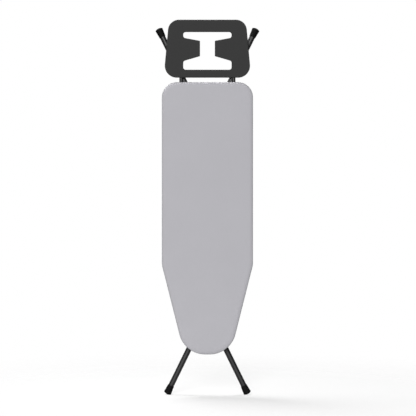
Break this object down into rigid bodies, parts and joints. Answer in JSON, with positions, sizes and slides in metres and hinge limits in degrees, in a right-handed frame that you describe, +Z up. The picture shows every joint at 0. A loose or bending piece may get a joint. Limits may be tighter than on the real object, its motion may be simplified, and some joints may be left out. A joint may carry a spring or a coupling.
{
  "type": "ironing board",
  "caption": "Folding ironing board with scissor legs, a sliding height rack and an iron rest, folded flat and upright.",
  "frame": {"origin": "on the floor under the middle of the folded board, which stands on its inner leg's two feet", "axes": "+X across the board, +Y from the ironing face back to the legs, +Z up along the board from nose to iron rest"},
  "size_m": [0.4604, 0.085, 1.6595],
  "materials": {
    "cover_cloth": "plain woven cotton, silver grey",
    "felt_pad": "needle felt, off white",
    "mesh_steel": "satin dark grey powder coat",
    "board_steel": "satin dark grey powder coat",
    "plated_steel": "zinc plated, satin",
    "spring_steel": "drawn wire, oiled",
    "black_plastic": "moulded, matt",
    "rest_enamel": "satin dark grey powder coat",
    "leg_enamel": "satin black powder coat",
    "foot_rubber": "matt moulded",
    "grip_plastic": "moulded, fine ribs"
  },
  "bodies": {
    "board": {"cover": "cover_cloth", "pad": "felt_pad", "mesh_top": "mesh_steel", "rim_band": "board_steel", "nose_rib": "board_steel", "lower_slide_rib": "board_steel", "upper_slide_rib": "board_steel", "middle_rib": "board_steel", "lower_hinge_rib": "board_steel", "upper_hinge_rib": "board_steel", "inner_heel_rib": "board_steel", "outer_heel_rib": "board_steel", "left_bar": "board_steel", "right_bar": "board_steel", "rib_rivets": "plated_steel", "bracket_rivets": "plated_steel", "left_hinge_bracket": "plated_steel", "right_hinge_bracket": "plated_steel", "hinge_axle": "plated_steel", "hinge_axle_clips": "plated_steel", "left_guide_rod": "plated_steel", "right_guide_rod": "plated_steel", "left_guide_supports": "plated_steel", "right_guide_supports": "plated_steel", "rack_bracket": "plated_steel", "rack_pin": "plated_steel", "rack_spring": "spring_steel", "transport_clip": "black_plastic", "rest_plate": "rest_enamel", "rest_frame": "leg_enamel", "rest_frame_plugs": "black_plastic", "rest_posts": "rest_enamel", "rest_clamps": "rest_enamel", "clamp_rivets": "plated_steel"},
    "inner_leg": {"left_inner_leg": "leg_enamel", "right_inner_leg": "leg_enamel", "inner_top_brace": "leg_enamel", "inner_foot_brace": "leg_enamel", "left_inner_foot": "foot_rubber", "right_inner_foot": "foot_rubber", "inner_leg_plugs": "black_plastic", "hinge_axle_sleeves": "plated_steel", "pivot_axle": "plated_steel", "pivot_sleeve": "plated_steel", "pivot_washers": "black_plastic", "pivot_nuts": "plated_steel"},
    "outer_leg": {"left_outer_leg": "leg_enamel", "right_outer_leg": "leg_enamel", "outer_brace": "leg_enamel", "left_outer_foot": "foot_rubber", "right_outer_foot": "foot_rubber", "outer_leg_plugs": "black_plastic"},
    "carriage": {"slide_axle": "plated_steel", "slide_axle_sleeves": "plated_steel", "left_slider": "black_plastic", "right_slider": "black_plastic"},
    "lever": {"height_rack": "plated_steel", "lever_wire": "leg_enamel", "lever_grip": "grip_plastic"}
  },
  "joints": [
    {"name": "leg_fold", "type": "hinge", "parent": "board", "child": "inner_leg", "pos_m": [0, -0.0144, 1.20372], "axis": [1, 0, 0], "range_deg": [0, 46.21]},
    {"name": "leg_scissor", "type": "hinge", "parent": "inner_leg", "child": "outer_leg", "pos_m": [0, -0.0014, 0.81393], "axis": [1, 0, 0], "range_deg": [-92.43, 0]},
    {"name": "carriage_pivot", "type": "hinge", "parent": "outer_leg", "child": "carriage", "pos_m": [0, -0.0144, 0.42415], "axis": [1, 0, 0], "range_deg": [0, 46.22]},
    {"name": "rack_release", "type": "hinge", "parent": "board", "child": "lever", "pos_m": [0.0867, -0.0054, 0.76], "axis": [1, 0, 0], "range_deg": [-5.5, 1]}
  ],
  "couplings": [
    {"joint": "leg_scissor", "follows": "leg_fold", "ratio": -2},
    {"joint": "carriage_pivot", "follows": "leg_fold", "ratio": 1}
  ]
}
